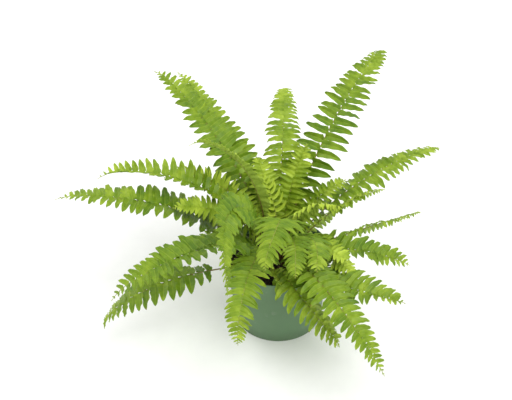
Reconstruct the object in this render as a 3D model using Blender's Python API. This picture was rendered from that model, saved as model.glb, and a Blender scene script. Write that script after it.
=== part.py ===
"""Boston fern in a plain nursery pot.

Frame: metres, +Z up, origin at the centre of the pot's foot. -Y is the front.
Each frond is one closed blade: a tapering stalk with a row of leaflets down both sides.
Fronds grow clear of each other, so a leaflet that would meet another piece is made shorter.
"""
import math
from collections import namedtuple

import bmesh
import bpy
from mathutils import Vector
from mathutils.bvhtree import BVHTree

# Pot
POT_HEIGHT = 0.120
RIM_RADIUS = 0.076
FOOT_RADIUS = 0.064
WALL = 0.0016
FLOOR_THICKNESS = 0.0020
FLOOR_LIFT = 0.0030
PAD_RADIUS = 0.032
FOOT_RING_INNER = 0.057
ROUND_STEPS = 40
DRAIN_HOLES = 8
DRAIN_RADIUS = 0.0050
DRAIN_CIRCLE = 0.045
DRAIN_CUT_DEPTH = 0.020
DRAIN_SIDES = 16
EDGE = 0.0020
FINE_EDGE = 0.0006

# Potting mix and crown
GAP = 0.0004
MIX_EDGE_HEIGHT = 0.103
MIX_DOME = 0.004
CROWN_RADIUS = 0.0085
CROWN_HEIGHT = 0.013
CROWN_STEPS = 20
CROWN_WOBBLE = 0.06
LOBES = 5
LOBE_TWIST = 300
CROWN_OUTLINE = ((0.85, 0.0), (1.0, 0.3), (0.75, 0.75), (0.3, 1.0))

# Fronds
STALK_BASE_WIDTH = 0.0026
STALK_TIP_WIDTH = 0.0010
STALK_BASE_DEPTH = 0.0022
STALK_TIP_DEPTH = 0.0008
STALK_STEPS = 3
FINE_STEPS = 6
LEAFLET_PITCH = 0.0135
LEAFLET_SWEEP = math.radians(14)
LEAFLET_TIP_SHARE = 0.55
LEAFLET_START = 0.5
LEAFLET_GROWTH = 2.5
LEAFLET_TAPER = 0.86
CLEARANCE = 0.0005
SHORTEST_LEAFLET = 0.003
SHORTEN_STEPS = (1.0, 0.8, 0.6, 0.45, 0.3, 0.15)

# azimuth: where the frond heads, degrees from +X; turn: how far the heading swings by the tip;
# length of the whole frond; rise and end: slope in degrees at the base and at the tip;
# bend: below 1 the frond arches early; width: the longest leaflet; bare: the share of stalk
# with no leaflets; roll: the blade's tilt about its own stalk; fold: how far the leaflets
# are raised; root: distance of the stalk's base from the pot's axis.
Frond = namedtuple("Frond", "azimuth turn length rise end bend width bare roll fold root")
FRONDS = (
    Frond(127, 6, 0.340, 84, 17, 0.50, 0.038, 0.14, 0, 15, 0.013),
    Frond(116, 9, 0.325, 76, 18, 0.42, 0.036, 0.16, 0, 10, 0.017),
    Frond(139, 46, 0.237, 89, 4, 2.00, 0.026, 0.24, -40, 20, 0.0200),
    Frond(157, 28, 0.296, 84, -6, 0.65, 0.038, 0.16, 0, 25, 0.016),
    Frond(172, 8, 0.318, 58, -2, 0.60, 0.038, 0.14, 0, 15, 0.022),
    Frond(147, 25, 0.215, 84, -14, 1.10, 0.024, 0.20, 60, 10, 0.021),
    Frond(222, -12, 0.292, 80, -20, 0.60, 0.038, 0.16, 0, 15, 0.016),
    Frond(213, -32, 0.275, 22, -60, 1.60, 0.036, 0.32, 0, 0, 0.024),
    Frond(205, 84, 0.315, 84, -92, 1.75, 0.028, 0.22, 50, 10, 0.018),
    Frond(247, 8, 0.235, 84, -84, 0.95, 0.034, 0.25, 0, 5, 0.017),
    Frond(289, -48, 0.222, 89, -60, 1.67, 0.042, 0.20, 0, 0, 0.010),
    Frond(260, 55, 0.084, 53, -13, 0.60, 0.016, 0.24, 0, 20, 0.0256),
    Frond(81, 8, 0.332, 83, -24, 0.85, 0.032, 0.22, 0, 10, 0.018),
    Frond(50, 12, 0.402, 81, -4, 0.70, 0.042, 0.16, 0, 10, 0.015),
    Frond(20, 26, 0.338, 83, -22, 0.50, 0.030, 0.20, 0, 15, 0.018),
    Frond(12, 6, 0.178, 64, -6, 1.10, 0.022, 0.22, 60, 0, 0.022),
    Frond(4, 28, 0.215, 44, -10, 0.45, 0.018, 0.28, 60, 0, 0.026),
    Frond(-19, 0, 0.180, 58, -16, 0.57, 0.036, 0.20, 0, 20, 0.0235),
    Frond(-58, 32, 0.205, 24, 5, 0.75, 0.040, 0.22, 0, 25, 0.024),
    Frond(-68, 16, 0.274, 81, -42, 0.48, 0.034, 0.16, 0, 10, 0.0166),
    Frond(-88, 60, 0.182, 62, -50, 0.55, 0.034, 0.20, 0, 10, 0.022),
    Frond(83, 59, 0.128, 87, 44, 1.40, 0.028, 0.30, 0, 30, 0.0116),
    Frond(-4, -20, 0.155, 88, -20, 1.90, 0.026, 0.22, 50, 10, 0.013),
    Frond(-24, -82, 0.158, 77, -39, 1.42, 0.036, 0.22, 20, 5, 0.0169),
    Frond(178, 6, 0.180, 80, 0, 0.90, 0.032, 0.22, 20, 15, 0.0125),
    Frond(194, 6, 0.140, 68, -6, 0.80, 0.030, 0.24, 0, 15, 0.014),
    Frond(64, -6, 0.170, 84, 35, 0.90, 0.032, 0.24, 0, 15, 0.012),
    Frond(104, 4, 0.150, 86, 30, 1.00, 0.032, 0.24, 0, 10, 0.012),
    Frond(32, -8, 0.150, 80, 10, 0.90, 0.032, 0.22, 0, 15, 0.013),
    Frond(234, -4, 0.112, 64, -10, 0.90, 0.024, 0.26, 0, 15, 0.021),
    Frond(-44, 6, 0.140, 74, -16, 0.90, 0.034, 0.24, 0, 15, 0.013),
    Frond(-34, -10, 0.125, 58, -20, 0.90, 0.032, 0.20, 0, 10, 0.0205),
    Frond(-58, -42, 0.170, 84, -62, 1.60, 0.032, 0.24, 0, 0, 0.0128),
)


def clear_scene():
    for obj in list(bpy.data.objects):
        bpy.data.objects.remove(obj, do_unlink=True)


def make_material(name, colour, roughness):
    material = bpy.data.materials.new(name)
    material.use_nodes = True
    shader = material.node_tree.nodes["Principled BSDF"]
    shader.inputs["Base Color"].default_value = (*colour, 1.0)
    shader.inputs["Roughness"].default_value = roughness
    shader.inputs["Metallic"].default_value = 0.0
    return material


def add_object(name, mesh, material):
    mesh.materials.append(material)
    obj = bpy.data.objects.new(name, mesh)
    bpy.context.scene.collection.objects.link(obj)
    return obj


def ring(build, radius, height, steps, wobble):
    """A ring of vertices about the Z axis; wobble makes it knobby, with five lobes that wind upwards."""
    verts = []
    for step in range(steps):
        angle = math.tau * step / steps
        out = radius * (1 + wobble * math.sin(LOBES * angle + LOBE_TWIST * height))
        verts.append(build.verts.new((out * math.cos(angle), out * math.sin(angle), height)))
    return verts


def turned_mesh(name, profile, steps, wobble=0.0):
    """Turn a profile of (radius, height) points about Z, from its lowest axis point round to its last."""
    build = bmesh.new()
    first = build.verts.new((0, 0, profile[0][1]))
    last = build.verts.new((0, 0, profile[-1][1]))
    rings = [ring(build, radius, height, steps, wobble) for radius, height in profile[1:-1]]
    for step in range(steps):
        after = (step + 1) % steps
        build.faces.new((first, rings[0][after], rings[0][step]))
        build.faces.new((last, rings[-1][step], rings[-1][after]))
        for low, high in zip(rings, rings[1:]):
            build.faces.new((low[step], low[after], high[after], high[step]))
    bmesh.ops.recalc_face_normals(build, faces=build.faces)
    mesh = bpy.data.meshes.new(name)
    build.to_mesh(mesh)
    build.free()
    mesh.shade_smooth()
    mesh.set_sharp_from_angle(angle=math.radians(35))
    return mesh


def inner_radius(height):
    """The inside of the pot's wall at a height."""
    return FOOT_RADIUS + (RIM_RADIUS - FOOT_RADIUS) * height / POT_HEIGHT - WALL


def pot_profile():
    floor_top = FLOOR_LIFT + FLOOR_THICKNESS
    return (
        (0, 0),
        (PAD_RADIUS, 0),
        (PAD_RADIUS + FLOOR_LIFT, FLOOR_LIFT),
        (FOOT_RING_INNER, FLOOR_LIFT),
        (FOOT_RING_INNER + EDGE, 0),
        (FOOT_RADIUS - 2 * FINE_EDGE, 0),
        (FOOT_RADIUS, 2 * FINE_EDGE),
        (RIM_RADIUS, POT_HEIGHT - FINE_EDGE),
        (RIM_RADIUS - FINE_EDGE, POT_HEIGHT),
        (RIM_RADIUS - WALL + FINE_EDGE, POT_HEIGHT),
        (inner_radius(POT_HEIGHT - FINE_EDGE), POT_HEIGHT - FINE_EDGE),
        (inner_radius(floor_top + EDGE), floor_top + EDGE),
        (inner_radius(floor_top) - EDGE, floor_top),
        (PAD_RADIUS, floor_top),
        (PAD_RADIUS - FLOOR_LIFT, FLOOR_THICKNESS),
        (0, FLOOR_THICKNESS),
    )


def drain_cutter(angle):
    """A vertical pin through the raised part of the floor."""
    mesh = bpy.data.meshes.new("drain_cutter")
    build = bmesh.new()
    bmesh.ops.create_cone(build, cap_ends=True, segments=DRAIN_SIDES, radius1=DRAIN_RADIUS,
                          radius2=DRAIN_RADIUS, depth=DRAIN_CUT_DEPTH)
    build.to_mesh(mesh)
    build.free()
    cutter = bpy.data.objects.new("drain_cutter", mesh)
    bpy.context.scene.collection.objects.link(cutter)
    cutter.location = (DRAIN_CIRCLE * math.cos(angle), DRAIN_CIRCLE * math.sin(angle), FLOOR_LIFT)
    cutter.hide_render = True
    cutter.display_type = "WIRE"
    return cutter


def make_pot():
    green = make_material("pot_green", (0.127, 0.216, 0.114), 0.45)
    pot = add_object("pot", turned_mesh("pot", pot_profile(), ROUND_STEPS), green)
    for number in range(DRAIN_HOLES):
        cut = pot.modifiers.new("drain", "BOOLEAN")
        cut.operation = "DIFFERENCE"
        cut.solver = "EXACT"
        cut.object = drain_cutter(math.tau * (number + 0.5) / DRAIN_HOLES)
    return pot


def mix_height(radius):
    """The potting mix is a little higher in the middle of the pot."""
    share = min(radius / inner_radius(MIX_EDGE_HEIGHT), 1.0)
    return MIX_EDGE_HEIGHT + MIX_DOME * math.cos(share * math.pi / 2)


def make_potting_mix():
    floor_top = FLOOR_LIFT + FLOOR_THICKNESS
    low = floor_top + GAP
    edge = inner_radius(MIX_EDGE_HEIGHT) - GAP
    profile = [(0, FLOOR_THICKNESS + GAP), (PAD_RADIUS - FLOOR_LIFT - GAP, FLOOR_THICKNESS + GAP)]
    profile += [(PAD_RADIUS - GAP, low), (inner_radius(low) - EDGE - GAP, low)]
    profile += [(inner_radius(low + EDGE) - GAP, low + EDGE), (edge, MIX_EDGE_HEIGHT)]
    profile += [(edge * share, mix_height(edge * share)) for share in (0.75, 0.5, 0.25)]
    profile.append((0, mix_height(0)))
    brown = make_material("mix_brown", (0.018, 0.012, 0.008), 0.95)
    return add_object("potting_mix", turned_mesh("potting_mix", profile, ROUND_STEPS), brown)


def make_crown():
    base = mix_height(0) + GAP
    profile = [(0, base)]
    profile += [(CROWN_RADIUS * out, base + CROWN_HEIGHT * up) for out, up in CROWN_OUTLINE]
    profile.append((0, base + CROWN_HEIGHT))
    bark = make_material("crown_brown", (0.075, 0.040, 0.018), 0.85)
    return add_object("crown", turned_mesh("crown", profile, CROWN_STEPS, CROWN_WOBBLE), bark)


def frond_path(frond, blade_steps):
    """Points, directions and side vectors along the stalk, at every cross-section."""
    share_stops = [frond.bare * step / STALK_STEPS for step in range(STALK_STEPS)]
    share_stops += [frond.bare + (1 - frond.bare) * step / blade_steps for step in range(blade_steps + 1)]
    start = math.radians(frond.azimuth)
    base = mix_height(frond.root) + STALK_BASE_DEPTH
    point = Vector((frond.root * math.cos(start), frond.root * math.sin(start), base))
    path = []
    share = 0.0
    for stop in share_stops:
        step_share = (stop - share) / FINE_STEPS
        for _ in range(FINE_STEPS):
            point = point + frond_direction(frond, share + step_share / 2)[0] * frond.length * step_share
            share += step_share
        direction, side = frond_direction(frond, stop)
        path.append((point.copy(), direction, side, direction.cross(side) * -1))
    return path


def frond_direction(frond, share):
    """The stalk's direction, and the side that a leaflet grows to, at a share of its length."""
    slope = math.radians(frond.rise + (frond.end - frond.rise) * share ** frond.bend)
    heading = math.radians(frond.azimuth + frond.turn * share)
    direction = Vector((
        math.cos(slope) * math.cos(heading),
        math.cos(slope) * math.sin(heading),
        math.sin(slope),
    ))
    level = Vector((math.sin(heading), -math.cos(heading), 0))
    upward = level.cross(direction)
    roll = math.radians(frond.roll) * min(share / frond.bare, 1.0)
    return direction, level * math.cos(roll) + upward * math.sin(roll)


def leaflet_length(frond, share):
    """Leaflets lengthen over the first part of the blade and shrink towards its tip."""
    growth = min(1.0, LEAFLET_START + LEAFLET_GROWTH * share)
    taper = 1 - LEAFLET_TAPER * share ** 2
    return frond.width * growth * taper


def stalk_rings(path):
    """Four corners at each cross-section: upper right, upper left, lower left, lower right."""
    rings = []
    for number, (point, _, side, upward) in enumerate(path):
        share = number / (len(path) - 1)
        half_width = (STALK_BASE_WIDTH + (STALK_TIP_WIDTH - STALK_BASE_WIDTH) * share) / 2
        half_depth = (STALK_BASE_DEPTH + (STALK_TIP_DEPTH - STALK_BASE_DEPTH) * share) / 2
        across = side * half_width
        rise = upward * half_depth
        rings.append((point + across + rise, point - across + rise,
                      point - across - rise, point + across - rise))
    return rings


def stalk_tree(rings):
    """The bare stalk as a search tree, for the clearance of other fronds' leaflets."""
    points = [corner for four in rings for corner in four]
    faces = []
    for number in range(len(rings) - 1):
        for corner in range(4):
            first = number * 4 + corner
            second = number * 4 + (corner + 1) % 4
            faces.append((first, second, second + 4, first + 4))
    return BVHTree.FromPolygons(points, faces)


def leaflet_tip(frond, path, number, right, length):
    """The two ends of a leaflet's tip edge."""
    point, direction, side, upward = path[number]
    after = path[number + 1][0]
    middle = (point + after) / 2
    fold = math.radians(frond.fold)
    outward = side * (1 if right else -1) * math.cos(fold) + upward * math.sin(fold)
    outward = outward * math.cos(LEAFLET_SWEEP) + direction * math.sin(LEAFLET_SWEEP)
    tip = middle + outward * length
    half_tip = (after - point) * LEAFLET_TIP_SHARE / 2
    return tip - half_tip, tip + half_tip


def leaflet_is_clear(rings, tips, number, right, trees):
    """Whether a slightly larger leaflet misses every piece in the trees."""
    near = rings[number]
    far = rings[number + 1]
    corners = (0, 3) if right else (1, 2)
    base = [near[corners[0]], near[corners[1]], far[corners[0]], far[corners[1]]]
    thick = (base[0] - base[1]).normalized() * CLEARANCE
    length = (tips[0] - base[0]).normalized() * CLEARANCE
    along = (tips[1] - tips[0]).normalized() * CLEARANCE
    points = [base[0] + thick - along, base[1] - thick - along]
    points += [base[2] + thick + along, base[3] - thick + along]
    points += [tips[0] + length + thick - along, tips[0] + length - thick - along]
    points += [tips[1] + length + thick + along, tips[1] + length - thick + along]
    faces = ((0, 2, 6, 4), (1, 3, 7, 5), (0, 1, 5, 4), (2, 3, 7, 6), (4, 5, 7, 6))
    shape = BVHTree.FromPolygons(points, faces)
    return not any(shape.overlap(tree) for tree in trees)


def leaflets(frond, path, rings, trees):
    """The leaflets that fit, as (section, right side or not, tip edge)."""
    blade_start = STALK_STEPS
    sections = len(path) - 1 - blade_start
    grown = []
    for number in range(blade_start, len(path) - 1):
        wanted = leaflet_length(frond, (number - blade_start) / sections)
        for right in (True, False):
            for share in SHORTEN_STEPS:
                length = max(wanted * share, SHORTEST_LEAFLET)
                tips = leaflet_tip(frond, path, number, right, length)
                if leaflet_is_clear(rings, tips, number, right, trees):
                    grown.append((number, right, tips))
                    break
    return grown


def frond_mesh(name, rings, grown):
    """One closed surface: a four-sided stalk whose side faces carry the leaflets."""
    build = bmesh.new()
    verts = [[build.verts.new(corner) for corner in four] for four in rings]
    build.faces.new(verts[0])
    build.faces.new(list(reversed(verts[-1])))
    tip_edges = {(number, right): tips for number, right, tips in grown}
    for number in range(len(verts) - 1):
        near = verts[number]
        far = verts[number + 1]
        build.faces.new((near[0], far[0], far[1], near[1]))
        build.faces.new((near[2], far[2], far[3], near[3]))
        for right, (upper, lower) in ((True, (0, 3)), (False, (1, 2))):
            tips = tip_edges.get((number, right))
            if tips is None:
                build.faces.new((near[upper], near[lower], far[lower], far[upper]))
                continue
            tip_near = build.verts.new(tips[0])
            tip_far = build.verts.new(tips[1])
            build.faces.new((near[upper], tip_near, tip_far, far[upper]))
            build.faces.new((near[lower], far[lower], tip_far, tip_near))
            build.faces.new((near[upper], near[lower], tip_near))
            build.faces.new((far[lower], far[upper], tip_far))
    bmesh.ops.recalc_face_normals(build, faces=build.faces)
    bmesh.ops.triangulate(build, faces=build.faces)
    mesh = bpy.data.meshes.new(name)
    build.to_mesh(mesh)
    build.free()
    return mesh


def mesh_tree(obj):
    """An object's evaluated surface as a search tree."""
    graph = bpy.context.evaluated_depsgraph_get()
    return BVHTree.FromObject(obj, graph)


def make_fronds(solids):
    """Grow every stalk first, then each frond's leaflets in the room that is left."""
    green = make_material("frond_green", (0.24, 0.36, 0.045), 0.55)
    paths = []
    for frond in FRONDS:
        blade = frond.length * (1 - frond.bare)
        paths.append(frond_path(frond, max(5, round(blade / LEAFLET_PITCH))))
    rings = [stalk_rings(path) for path in paths]
    trees = [stalk_tree(four) for four in rings]
    fixed = [mesh_tree(solid) for solid in solids]
    for number, frond in enumerate(FRONDS):
        others = fixed + trees[:number] + trees[number + 1:]
        grown = leaflets(frond, paths[number], rings[number], others)
        mesh = frond_mesh(f"frond_{number + 1:02d}", rings[number], grown)
        trees[number] = mesh_tree(add_object(mesh.name, mesh, green))


def main():
    clear_scene()
    solids = [make_pot(), make_potting_mix(), make_crown()]
    make_fronds(solids)


main()
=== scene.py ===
"""The looks of a potted Boston fern: detailed fronds, crown, potting mix and nursery pot.

Every piece is built in the row frame, in metres: +Z up, origin at the centre of the pot's foot.
"""

import math
import random
from collections import namedtuple

import bmesh
import bpy
import numpy as np
from mathutils import Matrix, Vector, noise


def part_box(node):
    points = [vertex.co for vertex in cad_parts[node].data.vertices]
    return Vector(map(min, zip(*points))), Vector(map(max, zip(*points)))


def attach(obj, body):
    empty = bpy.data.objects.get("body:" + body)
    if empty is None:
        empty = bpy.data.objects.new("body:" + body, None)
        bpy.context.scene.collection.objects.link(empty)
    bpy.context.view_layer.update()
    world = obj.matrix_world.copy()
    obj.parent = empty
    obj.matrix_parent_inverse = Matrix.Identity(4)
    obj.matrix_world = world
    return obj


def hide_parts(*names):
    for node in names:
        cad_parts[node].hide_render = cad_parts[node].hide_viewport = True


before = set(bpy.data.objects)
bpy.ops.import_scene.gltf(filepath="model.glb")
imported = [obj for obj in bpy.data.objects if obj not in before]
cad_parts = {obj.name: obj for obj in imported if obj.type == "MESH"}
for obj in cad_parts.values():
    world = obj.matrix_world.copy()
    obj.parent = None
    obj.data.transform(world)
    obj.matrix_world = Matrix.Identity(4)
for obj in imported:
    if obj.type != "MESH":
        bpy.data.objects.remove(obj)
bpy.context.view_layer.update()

# Camera
CAMERA_PLACE = Vector((-0.028, -0.990, 0.958))
CAMERA_PITCH = math.radians(37.0)
CAMERA_ROLL = math.radians(2.0)
CAMERA_LENS = 63.3
SENSOR_WIDTH = 36.0
CLIP_START = 0.05
CLIP_END = 20

# Light and floor; each direction points from the plant to the source
SKY_STRENGTH = 0.84
KEY_STRENGTH = 1.80
KEY_DIRECTION = (0.45, -0.55, 1.0)
BACK_STRENGTH = 0.50
BACK_DIRECTION = (-0.6, 0.8, 0.9)
SUN_SPREAD = math.radians(40)
FLOOR_HALF_SIZE = 6.0
FLOOR_CELLS = 8

# Colours are sRGB values from 0 to 255. A ramp's stops are (place, colour). A tint is (colour, strength),
# and the strength is how much of the colour below it hides where it is laid on fully.
LEAF_RAMP = ((0.0, (50, 88, 6)), (0.35, (82, 117, 12)), (0.65, (121, 149, 26)), (1.0, (178, 200, 64)))
VEIN_TINT = ((150, 182, 48), 0.22)
MIDRIB_TINT = ((170, 192, 72), 0.55)
LEAF_EDGE_TINT = ((170, 196, 56), 0.25)
UNDERSIDE_TINT = ((150, 182, 78), 0.45)
SPOT_TINT = ((139, 112, 48), 0.35)
SCORCH_TINT = ((134, 92, 44), 1.0)
STALK_RAMP = ((0.0, (104, 76, 38)), (0.35, (128, 112, 48)), (1.0, (158, 176, 74)))
STALK_FLECK_TINT = ((96, 62, 34), 0.75)
POT_RAMP = ((0.0, (86, 115, 80)), (1.0, (98, 129, 94)))
DUST_TINT = ((140, 152, 136), 0.28)
# Painted shade: the darker green laid over the pot's foot
FOOT_SHADE_TINT = ((74, 92, 64), 1.0)
MIX_RAMP = ((0.30, (16, 12, 9)), (0.55, (38, 28, 20)), (0.75, (74, 54, 36)))
BARK_RAMP = ((0.3, (30, 21, 14)), (0.6, (66, 44, 28)), (0.8, (104, 74, 48)))
CROWN_RAMP = ((0.3, (48, 30, 18)), (0.55, (88, 58, 32)), (0.8, (136, 98, 58)))
FLOOR_RAMP = ((0.3, (246, 246, 245)), (0.7, (250, 250, 249)))

# Materials: the usual range of a noise; the slant of the side veins, and the angle in radians that their
# sine turns through over a leaflet's length; the height of the pot's foot that is darkened with painted
# shade
NOISE_RANGE = (0.3, 0.7)
VEIN_SLANT = 0.22
VEIN_ANGLE = 92.0
SHADED_FOOT_HEIGHT = 0.020

# Sizes read from the frame
POT_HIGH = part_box("pot")[1]
MIX_LOW, MIX_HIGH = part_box("potting_mix")
CROWN_LOW, CROWN_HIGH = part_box("crown")
POT_HEIGHT = POT_HIGH.z
RIM_RADIUS = POT_HIGH.x
MIX_RADIUS = MIX_HIGH.x
CROWN_RADIUS = (CROWN_HIGH.x - CROWN_LOW.x) / 2
CROWN_HEIGHT = CROWN_HIGH.z - CROWN_LOW.z

# Pot
FOOT_RADIUS = 0.064
WALL = 0.0016
FLOOR_THICKNESS = 0.0020
FLOOR_LIFT = 0.0030
PAD_RADIUS = 0.032
FOOT_RING_INNER = 0.057
EDGE = 0.0020
FINE_EDGE = 0.0006
POT_STEPS = 120
POT_SHARP_ANGLE = math.radians(40)
DRAIN_HOLES = 8
DRAIN_RADIUS = 0.0050
DRAIN_CIRCLE = 0.045
DRAIN_SIDES = 32
DRAIN_CUT_DEPTH = 0.02

# Potting mix; each kind of lump is (lumps per metre, height, layer of the noise)
MIX_EDGE_HEIGHT = 0.103
MIX_DOME = 0.004
MIX_GAP = 0.0006
MIX_RINGS = 40
MIX_STEPS = 140
LUMPS = ((95, 0.0016, 3.1), (340, 0.0007, 7.7))

# Bark crumbs; the stretch is (least, most) along each axis
CRUMBS = 520
CRUMB_SEED = 77
CRUMB_MARGIN = 0.004
CRUMB_SIZES = (0.0010, 0.0028)
CRUMB_STRETCH = ((0.8, 1.8), (0.5, 1.0), (0.35, 0.8))
CRUMB_LEAN = 0.6
CRUMB_LIFT = 0.15
CRUMB_ROUGHNESS = 0.28
CRUMB_GRAIN = 900
CRUMB_VARIETY = 400

# Root fibres
FIBRES = 90
FIBRE_SEED = 91
FIBRE_INNER = 0.012
FIBRE_SPAN = MIX_RADIUS - 0.022
FIBRE_LIMIT = MIX_RADIUS - 0.003
FIBRE_POINTS = 7
FIBRE_STEP = 0.0016
FIBRE_LIFT = 0.0004
FIBRE_WANDER = 0.5
FIBRE_RADII = (0.00018, 0.0004)
FIBRE_SIDES = 5
TUBE_TIP_RADIUS = 0.00008

# Crown; each kind of knob is (fineness, height as a share of the crown's size)
CROWN_SEED = 15
CORE_WIDTH = 0.9
CORE_HEIGHT = 0.86
KNOBS = ((2.3, 0.16), (7, 0.07))
CORE_DETAIL = 4
CROWN_SHARP_ANGLE = math.radians(50)
SCALES = 170
SCALE_LIFTS = (0.05, 1.0)
HIGHEST_SCALE = 0.95
SCALE_ROOT = 0.8
SCALE_OUTWARD = 0.7
SCALE_UPWARD = 0.9
SCALE_WANDER = 0.4
SCALE_LENGTHS = (0.0025, 0.0055)
SCALE_SAG = 0.0012
SCALE_STOPS = (0, 0.33, 0.66, 1.0)
SCALE_RADIUS = 0.00045
SCALE_SIDES = 4

# Stalks; the swollen foot takes up one part in FEET_PER_STALK of the length
STALK_BASE_WIDTH = 0.0026
STALK_TIP_WIDTH = 0.0007
STALK_TAPER = 0.8
STALK_SIDES = 8
STALK_RINGS = 64
FOOT_SWELL = 0.5
FEET_PER_STALK = 18
ROOT_DEPTH = 0.004
HOOK_START = 0.90
HOOK_LENGTH = 0.10
HOOK_DROP = 0.6
HOOK_SWING = 0.5
STALK_GREENING = 1.3
STALK_LEAST_TONE = 0.45
STALK_TONE_GAIN = 0.55

# Rows of leaflets: their spacing, and their length from the first one to the frond's tip
FROND_SEED = 4100
PITCH_PER_WIDTH = 0.365
SHORTEST_PITCH = 0.0072
PITCH_SHRINK = 0.50
PITCH_POWER = 1.5
PITCH_SPREAD = (0.94, 1.06)
ROW_END = 0.992
FIRST_LENGTH = 0.5
LENGTH_GROWTH = 2.5
LENGTH_SHRINK = 0.80
LENGTH_POWER = 2.2
LENGTH_SPREAD = (0.93, 1.09)
TIP_LENGTH = 0.15
TIP_THREAD = 0.12
LEAFLET_OVERLAP = 1.12
WIDEST_SHARE = 0.46
DRIFT_WAVES = 9
DRIFT_LAG = 2

# Angles of a leaflet; the spreads are in degrees, or shares of the frond's own droop and curl
LEAFLET_SWEEP = math.radians(6)
TIP_SWEEP = math.radians(24)
LEAFLET_TILT = math.radians(14)
DRIFT_ANGLE = 8
FOLD_SPREAD = 6
SWEEP_SPREAD = 5
TILT_SPREAD = 12
TWIST_SPREAD = 15
DROOP_SPREAD = (0.7, 1.25)
CURL_SPREAD = (0.5, 1.5)
DROOP_POWER = 1.3
CURL_POWER = 1.5

# Outline and surface of a leaflet, as shares of its own length and width; the thickness is in metres
LEAF_THICKNESS = 0.00035
LEAF_LENGTH_STEPS = 12
LEAF_WIDTH_STEPS = 6
LEAF_SHARP_ANGLE = math.radians(55)
BASE_PINCH = 0.45
BASE_PINCH_RATE = 30
TIP_POWER = 3.2
TIP_ROUNDNESS = 0.70
SIDE_TAPER = 0.20
EAR_PLACE = 0.08
EAR_LENGTH = 0.075
EAR_SIZES = (0.22, 0.40)
LEAST_WIDTH = 0.05
SCALLOP_DEPTH = 0.05
SCALLOP_ANGLE = 58
SCALLOPED_PART = 0.9
CREASE_SLOPE = 0.58
CREASE_ROUNDING = 0.40
RIPPLE_HEIGHT = 0.075
RIPPLE_WAVES = (2.0, 3.4)

# Tones of the leaflets, which grow fresher towards the frond's tip, and the places of a frond's materials
TONE_SPREAD = 0.11
FRESH_START = 0.40
FRESH_GAIN = 0.38
SCORCH_CHANCE = 0.05
LEAF_MATERIAL = 0
STALK_MATERIAL = 1

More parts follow.
